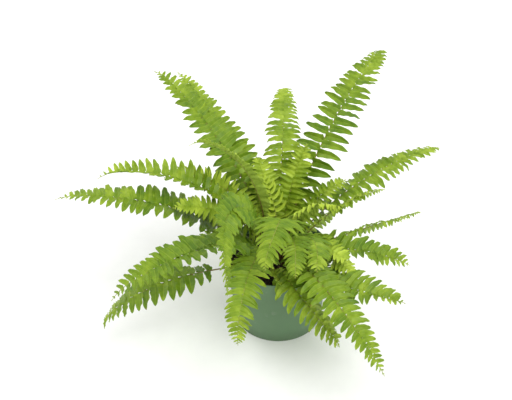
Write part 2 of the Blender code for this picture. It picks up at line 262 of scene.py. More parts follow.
# azimuth, turn, length, rise, end, bend, width, bare, roll, fold and root are the frond's shape, as in
# the CAD model. tone: 0 is an old deep green, 1 a fresh yellow green; droop: how far a leaflet bends
# down by its tip, in degrees; curl: how far its outer end curves to the frond's tip, in degrees;
# slim: below 1 the leaflets are narrower; crowd: below 1 they stand closer together; hook: the extra
# bend of the frond's last part, in degrees.
Frond = namedtuple(
    "Frond",
    "azimuth turn length rise end bend width bare roll fold root tone droop curl slim crowd hook",
)
FRONDS = (
    Frond(127, 6, 0.340, 84, 17, 0.50, 0.038, 0.14, 0, 15, 0.013, 0.46, 22, 8, 0.92, 1.05, 30),
    Frond(116, 9, 0.325, 76, 18, 0.42, 0.036, 0.16, 0, 10, 0.017, 0.54, 26, 8, 0.92, 1.00, 20),
    Frond(139, 46, 0.237, 89, 4, 2.00, 0.026, 0.24, -40, 20, 0.0200, 0.98, 10, 10, 1.25, 0.85, 40),
    Frond(157, 28, 0.296, 84, -6, 0.65, 0.038, 0.16, 0, 25, 0.016, 0.58, -20, 8, 0.90, 1.00, 30),
    Frond(172, 8, 0.318, 58, -2, 0.60, 0.038, 0.14, 0, 15, 0.022, 0.50, 22, 8, 1.10, 1.00, 20),
    Frond(147, 25, 0.215, 84, -14, 1.10, 0.024, 0.20, 60, 10, 0.021, 0.80, 35, 10, 0.90, 0.85, 50),
    Frond(222, -12, 0.292, 80, -20, 0.60, 0.038, 0.16, 0, 15, 0.016, 0.45, 20, 8, 1.15, 1.00, 30),
    Frond(213, -32, 0.275, 22, -60, 1.60, 0.036, 0.32, 0, 0, 0.024, 0.52, 14, 8, 1.10, 1.00, 50),
    Frond(205, 84, 0.315, 84, -92, 1.75, 0.028, 0.22, 50, 10, 0.018, 0.44, 25, 10, 1.20, 1.00, 30),
    Frond(247, 8, 0.235, 84, -84, 0.95, 0.034, 0.25, 0, 5, 0.017, 0.56, 28, 10, 0.92, 0.80, 25),
    Frond(289, -48, 0.222, 89, -60, 1.67, 0.042, 0.20, 0, 0, 0.010, 0.50, 38, 26, 0.80, 0.64, 40),
    Frond(260, 55, 0.084, 53, -13, 0.60, 0.016, 0.24, 0, 20, 0.0256, 1.20, -38, 15, 1.15, 0.95, 70),
    Frond(81, 8, 0.332, 83, -24, 0.85, 0.032, 0.22, 0, 10, 0.018, 0.62, 42, 4, 0.82, 1.00, 30),
    Frond(50, 12, 0.402, 81, -4, 0.70, 0.042, 0.16, 0, 10, 0.015, 0.46, 28, 8, 0.78, 1.00, 50),
    Frond(20, 26, 0.338, 83, -22, 0.50, 0.030, 0.20, 0, 15, 0.018, 0.58, 45, 8, 0.95, 1.10, 20),
    Frond(12, 6, 0.178, 64, -6, 1.10, 0.022, 0.22, 60, 0, 0.022, 0.78, 48, 10, 1.10, 1.00, 40),
    Frond(4, 28, 0.215, 44, -10, 0.45, 0.018, 0.28, 60, 0, 0.026, 0.62, 60, 10, 1.20, 1.20, 60),
    Frond(-19, 0, 0.180, 58, -16, 0.57, 0.036, 0.20, 0, 20, 0.0235, 0.50, 20, 24, 1.10, 0.85, 40),
    Frond(-58, 32, 0.205, 24, 5, 0.75, 0.040, 0.22, 0, 25, 0.024, 0.48, 30, 22, 0.95, 0.85, 50),
    Frond(-68, 16, 0.274, 81, -42, 0.48, 0.034, 0.16, 0, 10, 0.0166, 0.50, 20, 16, 0.92, 1.00, 40),
    Frond(-88, 60, 0.182, 62, -50, 0.55, 0.034, 0.20, 0, 10, 0.022, 0.64, 56, 14, 0.95, 0.90, 50),
    Frond(83, 59, 0.128, 87, 44, 1.40, 0.028, 0.30, 0, 30, 0.0116, 1.20, -24, 45, 0.50, 1.00, 160),
    Frond(-4, -20, 0.155, 88, -20, 1.90, 0.026, 0.22, 50, 10, 0.013, 1.20, 70, 15, 1.00, 0.80, 60),
    Frond(-24, -82, 0.158, 77, -39, 1.42, 0.036, 0.22, 20, 5, 0.0169, 0.50, 30, 24, 0.82, 0.66, 30),
    Frond(178, 6, 0.180, 80, 0, 0.90, 0.032, 0.22, 20, 15, 0.0125, 0.70, 25, 8, 1.00, 0.75, 30),
    Frond(194, 6, 0.140, 68, -6, 0.80, 0.030, 0.24, 0, 15, 0.014, 0.66, 25, 8, 1.00, 0.75, 30),
    Frond(64, -6, 0.170, 84, 35, 0.90, 0.032, 0.24, 0, 15, 0.012, 0.68, 25, 8, 1.00, 0.75, 30),
    Frond(104, 4, 0.150, 86, 30, 1.00, 0.032, 0.24, 0, 10, 0.012, 0.70, 25, 8, 1.00, 0.75, 30),
    Frond(32, -8, 0.150, 80, 10, 0.90, 0.032, 0.22, 0, 15, 0.013, 0.66, 25, 8, 1.00, 0.75, 30),
    Frond(234, -4, 0.112, 64, -10, 0.90, 0.024, 0.26, 0, 15, 0.021, 0.70, 25, 8, 1.00, 0.70, 30),
    Frond(-44, 6, 0.140, 74, -16, 0.90, 0.034, 0.24, 0, 15, 0.013, 0.66, 25, 8, 1.00, 0.70, 30),
    Frond(-34, -10, 0.125, 58, -20, 0.90, 0.032, 0.20, 0, 10, 0.0205, 0.70, 22, 8, 1.00, 0.70, 30),
    Frond(-58, -42, 0.170, 84, -62, 1.60, 0.032, 0.24, 0, 0, 0.0128, 0.50, 30, 24, 0.82, 0.66, 30),
)


# ---------------------------------------------------------------- shader helpers

def rgb(red, green, blue):
    """An sRGB colour, 0 to 255, as the linear triple that shaders use."""
    return tuple(
        value / 255 / 12.92 if value <= 10 else ((value / 255 + 0.055) / 1.055) ** 2.4
        for value in (red, green, blue)
    )


class Shader:
    """A node tree with short ways to add and join nodes."""

    def __init__(self, name):
        self.material = bpy.data.materials.new(name)
        self.material.use_nodes = True
        self.tree = self.material.node_tree
        self.surface = self.tree.nodes["Principled BSDF"]

    def node(self, kind, **settings):
        made = self.tree.nodes.new(kind)
        for key, value in settings.items():
            setattr(made, key, value)
        return made

    def join(self, source, target):
        self.tree.links.new(source, target)

    def feed(self, socket, value):
        """Links a socket to another one, or sets a plain value on it."""
        if isinstance(value, bpy.types.NodeSocket):
            self.join(value, socket)
        else:
            socket.default_value = value

    def attribute(self, name):
        return self.node("ShaderNodeAttribute", attribute_name=name).outputs["Fac"]

    def coordinates(self):
        return self.node("ShaderNodeTexCoord").outputs["Object"]

    def split(self, vector):
        """The three parts of a vector."""
        made = self.node("ShaderNodeSeparateXYZ")
        self.join(vector, made.inputs[0])
        return made.outputs

    def math(self, operation, first, second=0.0, clamp=False):
        made = self.node("ShaderNodeMath", operation=operation, use_clamp=clamp)
        self.feed(made.inputs[0], first)
        self.feed(made.inputs[1], second)
        return made.outputs[0]

    def times(self, first, second):
        return self.math("MULTIPLY", first, second)

    def plus(self, first, second, clamp=False):
        return self.math("ADD", first, second, clamp)

    def minus(self, first, second):
        return self.math("SUBTRACT", first, second)

    def tint(self, base, share, tint):
        """The base with a tint laid over it by a share."""
        colour, strength = tint
        made = self.node("ShaderNodeMix", data_type="RGBA")
        self.feed(made.inputs["Factor"], self.times(share, strength))
        self.feed(made.inputs["A"], base)
        self.feed(made.inputs["B"], (*rgb(*colour), 1))
        return made.outputs["Result"]

    def noise(self, scale, detail=4.0, roughness=0.55):
        made = self.node("ShaderNodeTexNoise")
        made.inputs["Scale"].default_value = scale
        made.inputs["Detail"].default_value = detail
        made.inputs["Roughness"].default_value = roughness
        self.join(self.coordinates(), made.inputs["Vector"])
        return made.outputs["Fac"]

    def ramp(self, value, stops):
        """A colour ramp through stops of (place, sRGB colour)."""
        made = self.node("ShaderNodeValToRGB")
        points = made.color_ramp.elements
        while len(points) < len(stops):
            points.new(0.5)
        for point, (place, colour) in zip(points, stops):
            point.position = place
            point.color = (*rgb(*colour), 1.0)
        self.feed(made.inputs["Fac"], value)
        return made.outputs["Color"]

    def spread(self, value, low, high, to_low=0.0, to_high=1.0):
        """Maps low to high onto to_low to to_high, and holds the ends beyond them."""
        made = self.node("ShaderNodeMapRange")
        self.feed(made.inputs["Value"], value)
        made.inputs["From Min"].default_value = low
        made.inputs["From Max"].default_value = high
        made.inputs["To Min"].default_value = to_low
        made.inputs["To Max"].default_value = to_high
        return made.outputs["Result"]

    def vary(self, noise, low=0.0, high=1.0):
        """Maps the usual range of a noise onto low to high."""
        return self.spread(noise, *NOISE_RANGE, low, high)

    def bump(self, height, strength, distance):
        made = self.node("ShaderNodeBump")
        made.inputs["Strength"].default_value = strength
        made.inputs["Distance"].default_value = distance
        self.join(height, made.inputs["Height"])
        self.join(made.outputs["Normal"], self.surface.inputs["Normal"])

    def set(self, **sockets):
        """Feeds the surface's sockets; an underscore stands for a space in a socket's name."""
        for name, value in sockets.items():
            self.feed(self.surface.inputs[name.replace("_", " ")], value)


# ---------------------------------------------------------------- materials

def leaf_material():
    """Mottled green blades with veins, paler below, with a few brown spots and scorched tips."""
    shader = Shader("leaf")
    tone = shader.attribute("tone")
    under = shader.attribute("under")
    place = shader.split(shader.node("ShaderNodeUVMap", uv_map="leaf").outputs["UV"])
    along = place[0]
    across = shader.math("ABSOLUTE", shader.minus(place[1], 0.5))

    mottle = shader.vary(shader.noise(55.0, 5.0), -0.16, 0.16)
    blade = shader.ramp(shader.plus(tone, mottle, clamp=True), LEAF_RAMP)
    # Side veins run outwards from the midrib towards the leaflet's tip.
    slanted = shader.minus(along, shader.times(across, VEIN_SLANT))
    veins = shader.spread(shader.math("SINE", shader.times(slanted, VEIN_ANGLE)), 0.55, 1.0)
    midrib = shader.spread(across, 0.045, 0.0)
    edge = shader.spread(across, 0.40, 0.50)
    blade = shader.tint(blade, veins, VEIN_TINT)
    blade = shader.tint(blade, midrib, MIDRIB_TINT)
    blade = shader.tint(blade, edge, LEAF_EDGE_TINT)
    blade = shader.tint(blade, under, UNDERSIDE_TINT)
    spots = shader.spread(shader.noise(210.0, 2.0), 0.73, 0.80)
    scorch = shader.times(shader.spread(along, 0.93, 1.0), shader.attribute("scorch"))
    blade = shader.tint(blade, spots, SPOT_TINT)
    blade = shader.tint(blade, scorch, SCORCH_TINT)

    gloss = shader.vary(shader.noise(120.0, 3.0), 0.36, 0.52)
    rough = shader.plus(gloss, shader.times(under, 0.18))
    shader.set(Base_Color=blade, Roughness=rough, Specular_IOR_Level=0.3)
    grain = shader.times(shader.noise(480.0, 3.0), 0.35)
    relief = shader.plus(shader.times(veins, -0.35), grain)
    shader.bump(shader.plus(shader.times(midrib, -0.8), relief), 0.55, 0.0006)
    return shader.material


def stalk_material():
    """Brown at the foot, turning green upwards, with dark scaly flecks."""
    shader = Shader("stalk")
    fleck = shader.noise(700.0, 3.0)
    green = shader.ramp(shader.attribute("tone"), STALK_RAMP)
    colour = shader.tint(green, shader.spread(fleck, 0.55, 0.68), STALK_FLECK_TINT)
    shader.set(Base_Color=colour, Roughness=shader.vary(fleck, 0.45, 0.7))
    shader.bump(shader.plus(fleck, shader.noise(2600.0, 2.0)), 0.5, 0.0004)
    return shader.material


def pot_material():
    """Matt green plastic with faint dusty scuffs, and painted shade that darkens its foot in patches."""
    shader = Shader("pot_plastic")
    broad = shader.noise(9.0, 3.0)
    fine = shader.noise(900.0, 2.0, 0.7)
    scuff = shader.noise(60.0, 6.0, 0.7)
    height = shader.split(shader.coordinates())[2]
    green = shader.ramp(shader.vary(broad), POT_RAMP)
    green = shader.tint(green, shader.spread(scuff, 0.58, 0.74), DUST_TINT)
    # Painted shade darkens the pot in patches towards its foot.
    shade_patches = shader.spread(scuff, 0.35, 0.7, 0.2, 0.6)
    low = shader.spread(height, SHADED_FOOT_HEIGHT, 0.0)
    green = shader.tint(green, shader.times(low, shade_patches), FOOT_SHADE_TINT)
    rough = shader.spread(scuff, 0.3, 0.75, 0.38, 0.56)
    shader.set(Base_Color=green, Roughness=rough, Specular_IOR_Level=0.4)
    shader.bump(shader.plus(fine, shader.times(scuff, 0.6)), 0.18, 0.0004)
    return shader.material


def mix_material():
    """Dark moist peat."""
    shader = Shader("potting_mix")
    grain = shader.noise(420.0, 8.0, 0.7)
    clump = shader.noise(70.0, 4.0)
    colour = shader.ramp(shader.plus(shader.times(grain, 0.7), shader.times(clump, 0.3)), MIX_RAMP)
    shader.set(Base_Color=colour, Roughness=shader.vary(grain, 0.75, 1.0))
    shader.bump(grain, 0.9, 0.0012)
    return shader.material


def bark_material():
    shader = Shader("bark_crumb")
    grain = shader.noise(900.0, 6.0, 0.65)
    colour = shader.ramp(grain, BARK_RAMP)
    shader.set(Base_Color=colour, Roughness=shader.vary(grain, 0.7, 0.95))
    shader.bump(grain, 0.8, 0.0008)
    return shader.material


def crown_material():
    shader = Shader("crown_scale")
    grain = shader.noise(650.0, 7.0, 0.7)
    colour = shader.ramp(grain, CROWN_RAMP)
    shader.set(Base_Color=colour, Roughness=shader.vary(grain, 0.65, 0.95))
    shader.bump(grain, 0.8, 0.0010)
    return shader.material


def floor_material():
    shader = Shader("floor")
    grain = shader.noise(30.0, 4.0)
    colour = shader.ramp(grain, FLOOR_RAMP)
    shader.set(Base_Color=colour, Roughness=shader.vary(grain, 0.8, 0.9))
    return shader.material


# ---------------------------------------------------------------- mesh helpers

UP = np.array((0.0, 0.0, 1.0))


def unit(vectors):
    return vectors / np.linalg.norm(vectors, axis=-1, keepdims=True)


def link_mesh(name, mesh, *materials):
    """A new object in the scene with the mesh and its materials."""
    for material in materials:
        mesh.materials.append(material)
    obj = bpy.data.objects.new(name, mesh)
    bpy.context.scene.collection.objects.link(obj)
    return obj


def built_mesh(build, name):
    """Turns a finished bmesh into a mesh."""
    mesh = bpy.data.meshes.new(name)
    build.to_mesh(mesh)
    build.free()
    return mesh


def circle_point(radius, height, step, steps):
    """One of the points, steps in all, round the z axis."""
    angle = math.tau * step / steps
    return (radius * math.cos(angle), radius * math.sin(angle), height)


def circle(radius, height, steps):
    return [circle_point(radius, height, step, steps) for step in range(steps)]


def skin_rings(build, rings, first, last):
    """Bands between neighbouring rings, closed by fans to a point at each end."""
    steps = len(rings[0])
    for step in range(steps):
        after = (step + 1) % steps
        build.faces.new((first, rings[0][after], rings[0][step]))
        build.faces.new((last, rings[-1][step], rings[-1][after]))
        for low, high in zip(rings, rings[1:]):
            build.faces.new((low[step], low[after], high[after], high[step]))


def add_tapered_tube(build, points, radius, sides):
    """A closed tube through points that ends in a thin tip."""
    rings = []
    for number, point in enumerate(points):
        after = points[min(number + 1, len(points) - 1)]
        before = points[max(number - 1, 0)]
        turn = (after - before).to_track_quat("Z", "Y")
        share = number / (len(points) - 1)
        thick = radius + (TUBE_TIP_RADIUS - radius) * share
        rings.append([build.verts.new(point + turn @ Vector(corner)) for corner in circle(thick, 0, sides)])
    build.faces.new(list(reversed(rings[0])))
    build.faces.new(rings[-1])
    for low, high in zip(rings, rings[1:]):
        for side in range(sides):
            after = (side + 1) % sides
            build.faces.new((low[side], low[after], high[after], high[side]))


class Pieces:
    """Closed shells gathered for one mesh, with their shading attributes."""

    def __init__(self):
        self.points = []
        self.faces = []
        self.places = []
        self.tones = []
        self.scorches = []
        self.unders = []
        self.materials = []
        self.count = 0

    def add(self, points, faces, places, tone, scorch, unders, material):
        """places holds a UV for each point; tone and scorch belong to the whole shell or to each point."""
        size = len(points)
        self.points.append(points)
        self.faces.extend(tuple(corner + self.count for corner in face) for face in faces)
        self.places.append(places)
        self.tones.append(np.broadcast_to(tone, size))
        self.scorches.append(np.broadcast_to(scorch, size))
        self.unders.extend(unders)
        self.materials.extend([material] * len(faces))
        self.count += size

    def mesh(self, name):
        mesh = bpy.data.meshes.new(name)
        mesh.from_pydata(np.concatenate(self.points).tolist(), [], self.faces)
        mesh.polygons.foreach_set("material_index", self.materials)
        for title, values in (("tone", self.tones), ("scorch", self.scorches)):
            layer = mesh.attributes.new(title, "FLOAT", "POINT")
            layer.data.foreach_set("value", np.concatenate(values).astype(np.float32))
        layer = mesh.attributes.new("under", "FLOAT", "FACE")
        layer.data.foreach_set("value", np.array(self.unders, np.float32))
        corners = np.zeros(len(mesh.loops), np.int32)
        mesh.loops.foreach_get("vertex_index", corners)
        uv = mesh.uv_layers.new(name="leaf")
        uv.data.foreach_set("uv", np.concatenate(self.places)[corners].astype(np.float32).ravel())
        mesh.shade_smooth()
        mesh.set_sharp_from_angle(angle=LEAF_SHARP_ANGLE)
        mesh.update()
        return mesh


# ---------------------------------------------------------------- stalks

def frond_frame(frond, share):
    """Direction, side and upward vectors of the stalk at a share of its length."""
    hook = math.radians(frond.hook) * max(0.0, share - HOOK_START) / HOOK_LENGTH
    slope = math.radians(frond.rise + (frond.end - frond.rise) * share ** frond.bend) - hook * HOOK_DROP
    heading = math.radians(frond.azimuth + frond.turn * share) + hook * HOOK_SWING
    level = np.array((math.sin(heading), -math.cos(heading), 0.0))
    direction = np.array((
        math.cos(slope) * math.cos(heading),
        math.cos(slope) * math.sin(heading),
        math.sin(slope),
    ))
    upward = np.cross(level, direction)
    roll = math.radians(frond.roll) * min(share / frond.bare, 1.0)
    side = level * math.cos(roll) + upward * math.sin(roll)
    return direction, side, np.cross(side, direction)


def mix_height(radius):
    """Height of the potting mix's domed top, without its lumps."""
    share = min(radius / MIX_RADIUS, 1.0)
    return MIX_EDGE_HEIGHT + MIX_DOME * math.cos(share * math.pi / 2)


def stalk_points(frond):
    """Points along the stalk, evenly spaced, starting at the potting mix."""
    start = math.radians(frond.azimuth)
    base = mix_height(frond.root)
    points = [np.array((frond.root * math.cos(start), frond.root * math.sin(start), base))]
    step = frond.length / STALK_RINGS
    for number in range(STALK_RINGS):
        direction = frond_frame(frond, (number + 0.5) / STALK_RINGS)[0]
        points.append(points[-1] + direction * step)
    return np.array(points)


def stalk_point(points, share):
    """The point at a share of the stalk's length."""
    place = share * STALK_RINGS
    low = min(int(place), STALK_RINGS - 1)
    return points[low] + (points[low + 1] - points[low]) * (place - low)


def stalk_radius(share):
    """Thick at the swollen foot, thin at the tip."""
    radius = (STALK_BASE_WIDTH + (STALK_TIP_WIDTH - STALK_BASE_WIDTH) * share ** STALK_TAPER) / 2
    return radius * (1 + FOOT_SWELL * max(0.0, 1 - share * FEET_PER_STALK))


def stalk_faces(rings):
    """Bands round a tube with numbered points, and a face over each of its ends."""
    faces = [tuple(reversed(range(STALK_SIDES)))]
    for number in range(rings - 1):
        for corner in range(STALK_SIDES):
            near = number * STALK_SIDES + corner
            after = number * STALK_SIDES + (corner + 1) % STALK_SIDES
            faces.append((near, after, after + STALK_SIDES, near + STALK_SIDES))
    last = (rings - 1) * STALK_SIDES
    faces.append(tuple(last + corner for corner in range(STALK_SIDES)))
    return faces


def add_stalk(pieces, frond, points):
    """The stalk as a tapering round tube that starts a little way down in the potting mix."""
    angles = np.linspace(0, math.tau, STALK_SIDES, endpoint=False)
    full_tone = STALK_LEAST_TONE + STALK_TONE_GAIN * frond.tone
    rings = []
    tones = []
    stops = [(points[0] - frond_frame(frond, 0)[0] * ROOT_DEPTH, 0.0)]
    stops += [(point, number / STALK_RINGS) for number, point in enumerate(points)]
    for point, share in stops:
        _, side, upward = frond_frame(frond, share)
        rim = np.outer(np.cos(angles), side) + np.outer(np.sin(angles), upward)
        rings.append(point + stalk_radius(share) * rim)
        tones.append(np.full(STALK_SIDES, min(share * STALK_GREENING, 1.0) * full_tone))
    faces = stalk_faces(len(rings))
    places = np.zeros((len(rings) * STALK_SIDES, 2))
    unders = [0.0] * len(faces)
    pieces.add(np.concatenate(rings), faces, places, np.concatenate(tones), 0.0, unders, STALK_MATERIAL)


# ---------------------------------------------------------------- leaflets

# One leaflet: its base point and the stalk's vectors there; sign: 1 to the right of the stalk, -1 to
# the left; share: its place on the leafy part; drift: a slow change from leaflet to leaflet, -1 to 1.
Leaflet = namedtuple("Leaflet", "frond base vectors sign length width share drift")


def leaf_grid_faces():
    """Faces of a thin closed shell over two grids: the upper surface, the lower surface and the rim."""
    columns = LEAF_WIDTH_STEPS + 1
    rows = LEAF_LENGTH_STEPS + 1
    lower = rows * columns
    faces = []
    unders = []
    for row in range(LEAF_LENGTH_STEPS):
        for column in range(LEAF_WIDTH_STEPS):
            corner = row * columns + column
            quad = (corner, corner + columns, corner + columns + 1, corner + 1)
            faces.append(quad)
            unders.append(0.0)
            faces.append(tuple(lower + index for index in reversed(quad)))
            unders.append(1.0)
    border = [row * columns for row in range(rows)]
    border += [(rows - 1) * columns + column for column in range(1, columns)]
    border += [row * columns + columns - 1 for row in range(rows - 2, -1, -1)]
    border += list(range(columns - 2, 0, -1))
    for near, after in zip(border, border[1:] + border[:1]):
        faces.append((after, near, lower + near, lower + after))
        unders.append(0.5)
    return faces, unders


LEAF_FACES, LEAF_UNDERS = leaf_grid_faces()
LEAF_ALONG = np.linspace(0, 1, LEAF_LENGTH_STEPS + 1)
LEAF_ACROSS = np.linspace(-1, 1, LEAF_WIDTH_STEPS + 1)


def leaf_grid_places():
    """A UV for each point of the two grids: x along the leaflet, y across it."""
    along, across = np.meshgrid(LEAF_ALONG, (LEAF_ACROSS + 1) / 2, indexing="ij")
    place = np.stack((along.ravel(), across.ravel()), axis=1)
    return np.concatenate((place, place))


LEAF_PLACES = leaf_grid_places()


def leaf_half_width(along, ear):
    """Half the leaflet's width at each share of its length, 1 at its widest; ear swells the base."""
    start = 1 - BASE_PINCH * np.exp(-along * BASE_PINCH_RATE)
    tip = np.power(np.clip(1 - np.power(along, TIP_POWER), 0, 1), TIP_ROUNDNESS)
    swell = ear * np.exp(-np.square((along - EAR_PLACE) / EAR_LENGTH))
    return start * (tip * (1 - SIDE_TAPER * along)) * (1 + swell) + LEAST_WIDTH


def leaflet_vectors(rng, leaflet):
    """The leaflet's own direction, crosswise and normal vectors at each step of its length."""
    frond = leaflet.frond
    sign = leaflet.sign
    direction, side, upward = leaflet.vectors
    outward = side * sign
    drift = DRIFT_ANGLE * leaflet.drift
    fold = math.radians(frond.fold + drift + rng.uniform(-FOLD_SPREAD, FOLD_SPREAD))
    sweep = LEAFLET_SWEEP + (TIP_SWEEP - LEAFLET_SWEEP) * leaflet.share ** 2
    sweep += math.radians(rng.uniform(-SWEEP_SPREAD, SWEEP_SPREAD))
    raised = outward * math.cos(fold) + upward * math.sin(fold)
    axis = raised * math.cos(sweep) + direction * math.sin(sweep)
    forward = direction * math.cos(sweep) - raised * math.sin(sweep)

    # The blade curves towards the frond's tip, and its outer part bends down under its own weight.
    droop = math.tan(math.radians(frond.droop * rng.uniform(*DROOP_SPREAD)))
    curl = math.tan(math.radians(frond.curl * rng.uniform(*CURL_SPREAD)))
    curled = np.outer(curl * LEAF_ALONG ** CURL_POWER, forward)
    bent = unit(axis + curled - np.outer(droop * LEAF_ALONG ** DROOP_POWER, UP))
    across = unit(forward - bent * (bent @ forward)[:, None]) * sign
    normal = np.cross(bent, across)

    # It turns about its own length to face the light at the front of the plant (-Y).
    facing = LEAFLET_TILT * direction[1] / math.hypot(direction[0], direction[1])
    tilt = sign * (facing + math.radians(rng.uniform(-TILT_SPREAD, TILT_SPREAD) + drift))
    spin = tilt + math.radians(rng.uniform(-TWIST_SPREAD, TWIST_SPREAD)) * LEAF_ALONG
    cosine = np.cos(spin)[:, None]
    sine = np.sin(spin)[:, None]
    return bent, across * cosine + normal * sine, normal * cosine - across * sine


def leaflet_section(rng, leaflet):
    """How far each point of the blade lies across the leaflet, and how far it is lifted."""
    phase = rng.uniform(0, math.tau)
    waves = rng.uniform(*RIPPLE_WAVES)
    ahead = leaf_half_width(LEAF_ALONG, rng.uniform(*EAR_SIZES))
    behind = leaf_half_width(LEAF_ALONG, 0.0)
    on_ahead_side = LEAF_ACROSS * leaflet.sign > 0
    half = np.where(on_ahead_side[None, :], ahead[:, None], behind[:, None]) * leaflet.width / 2
    scalloped = np.abs(LEAF_ACROSS) > SCALLOPED_PART
    scallop = 1 + SCALLOP_DEPTH * np.sin(LEAF_ALONG * SCALLOP_ANGLE + phase)[:, None] * scalloped
    offset = half * LEAF_ACROSS[None, :] * scallop
    crease = CREASE_SLOPE * np.abs(offset) - CREASE_ROUNDING * np.square(offset) / leaflet.width
    wave = np.sin(math.tau * waves * LEAF_ALONG + phase)[:, None]
    return offset, crease + RIPPLE_HEIGHT * leaflet.width * wave * LEAF_ACROSS ** 2


def add_leaflet(pieces, rng, leaflet):
    """One leaflet: a tapering blade with an ear at its base, creased along its midrib and gently wavy."""
    bent, across, normal = leaflet_vectors(rng, leaflet)
    steps = (bent[1:] + bent[:-1]) / 2 * leaflet.length / LEAF_LENGTH_STEPS
    spine = leaflet.base + np.concatenate((np.zeros((1, 3)), np.cumsum(steps, axis=0)))
    offset, lift = leaflet_section(rng, leaflet)
    flat = spine[:, None, :] + across[:, None, :] * offset[..., None]
    upper = flat + normal[:, None, :] * lift[..., None]
    lower = upper - normal[:, None, :] * LEAF_THICKNESS
    points = np.concatenate((upper.reshape(-1, 3), lower.reshape(-1, 3)))
    tone = leaflet.frond.tone + rng.uniform(-TONE_SPREAD, TONE_SPREAD)
    tone += FRESH_GAIN * max(0.0, leaflet.share - FRESH_START)
    scorch = 1.0 if rng.random() < SCORCH_CHANCE else 0.0
    pieces.add(points, LEAF_FACES, LEAF_PLACES, tone, scorch, LEAF_UNDERS, LEAF_MATERIAL)


def leaflet_length(frond, share):
    """Leaflets lengthen over the first part of the blade and shrink towards its tip."""
    growth = min(1.0, FIRST_LENGTH + LENGTH_GROWTH * share)
    taper = 1 - LENGTH_SHRINK * share ** LENGTH_POWER
    thread = min(1.0, TIP_LENGTH + (1 - share) / TIP_THREAD)
    return frond.width * growth * taper * thread


# ---------------------------------------------------------------- fronds

def add_leaflets(pieces, rng, frond, points):
    """Leaflets that alternate from side to side: the left row starts half a space later."""
    blade_start = frond.length * frond.bare
    blade = frond.length - blade_start
    widest_pitch = max(frond.width * PITCH_PER_WIDTH * frond.crowd, SHORTEST_PITCH)
    sway = rng.uniform(0, math.tau)
    for sign, lead, lag in ((1.0, 0.0, 0), (-1.0, 0.5, DRIFT_LAG)):
        travelled = blade_start + lead * widest_pitch
        while travelled < frond.length * ROW_END:
            share = (travelled - blade_start) / blade
            pitch = widest_pitch * (1 - PITCH_SHRINK * share ** PITCH_POWER)
            at = travelled / frond.length
            length = leaflet_length(frond, share) * rng.uniform(*LENGTH_SPREAD)
            width = min(pitch * LEAFLET_OVERLAP * frond.slim, length * WIDEST_SHARE)
            drift = math.sin(share * DRIFT_WAVES + sway + lag)
            base = stalk_point(points, at)
            vectors = frond_frame(frond, at)
            add_leaflet(pieces, rng, Leaflet(frond, base, vectors, sign, length, width, share, drift))
            travelled += pitch * rng.uniform(*PITCH_SPREAD)


def make_frond(number, frond, materials):
    """One frond: a stalk with a row of leaflets down each side."""
    rng = random.Random(FROND_SEED + number)
    points = stalk_points(frond)
    pieces = Pieces()
    add_stalk(pieces, frond, points)
    add_leaflets(pieces, rng, frond, points)
    node = f"frond_{number:02d}"
    piece = link_mesh(f"{node}_leaf", pieces.mesh(node), *materials)
    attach(piece, "root")
    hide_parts(node)


# ---------------------------------------------------------------- pot

def inner_radius(height):
    """Radius of the pot's cavity at a height."""
    return FOOT_RADIUS + (RIM_RADIUS - FOOT_RADIUS) * height / POT_HEIGHT - WALL


def pot_profile():
    """The wall's section from the underside's middle, round the rim, to the floor's middle."""
    floor_top = FLOOR_LIFT + FLOOR_THICKNESS
    return (
        (PAD_RADIUS, 0),
        (PAD_RADIUS + FLOOR_LIFT, FLOOR_LIFT),
        (FOOT_RING_INNER, FLOOR_LIFT),
        (FOOT_RING_INNER + EDGE, 0),
        (FOOT_RADIUS - 2 * FINE_EDGE, 0),
        (FOOT_RADIUS - FINE_EDGE / 2, FINE_EDGE / 2),
        (FOOT_RADIUS, 2 * FINE_EDGE),
        (RIM_RADIUS, POT_HEIGHT - FINE_EDGE),
        (RIM_RADIUS - FINE_EDGE / 3, POT_HEIGHT - FINE_EDGE / 3),
        (RIM_RADIUS - FINE_EDGE, POT_HEIGHT),
        (RIM_RADIUS - WALL + FINE_EDGE, POT_HEIGHT),
        (inner_radius(POT_HEIGHT - FINE_EDGE), POT_HEIGHT - FINE_EDGE),
        (inner_radius(floor_top + EDGE), floor_top + EDGE),
        (inner_radius(floor_top) - EDGE, floor_top),
        (PAD_RADIUS, floor_top),
        (PAD_RADIUS - FLOOR_LIFT, FLOOR_THICKNESS),
    )


def turned_mesh(name, profile, steps):
    """A closed solid of revolution round the z axis."""
    build = bmesh.new()
    first = build.verts.new((0, 0, profile[0][1]))
    last = build.verts.new((0, 0, profile[-1][1]))
    rings = [[build.verts.new(point) for point in circle(*corner, steps)] for corner in profile]
    skin_rings(build, rings, first, last)
    bmesh.ops.recalc_face_normals(build, faces=build.faces)
    return built_mesh(build, name)


def make_drain_cutter(number):
    build = bmesh.new()
    bmesh.ops.create_cone(build, cap_ends=True, segments=DRAIN_SIDES, radius1=DRAIN_RADIUS,
                          radius2=DRAIN_RADIUS, depth=DRAIN_CUT_DEPTH)
    cutter = link_mesh("drain_cutter", built_mesh(build, "drain_cutter"))
    cutter.location = circle_point(DRAIN_CIRCLE, FLOOR_LIFT, number + 0.5, DRAIN_HOLES)
    return cutter


def cut_drain_holes(pot):
    """Round holes through the raised part of the floor."""
    cutters = [make_drain_cutter(number) for number in range(DRAIN_HOLES)]
    for cutter in cutters:
        cut = pot.modifiers.new("drain", "BOOLEAN")
        cut.operation = "DIFFERENCE"
        cut.object = cutter
    bpy.context.view_layer.update()
    graph = bpy.context.evaluated_depsgraph_get()
    finished = bpy.data.meshes.new_from_object(pot.evaluated_get(graph))
    pot.modifiers.clear()
    pot.data = finished
    for cutter in cutters:
        bpy.data.objects.remove(cutter)


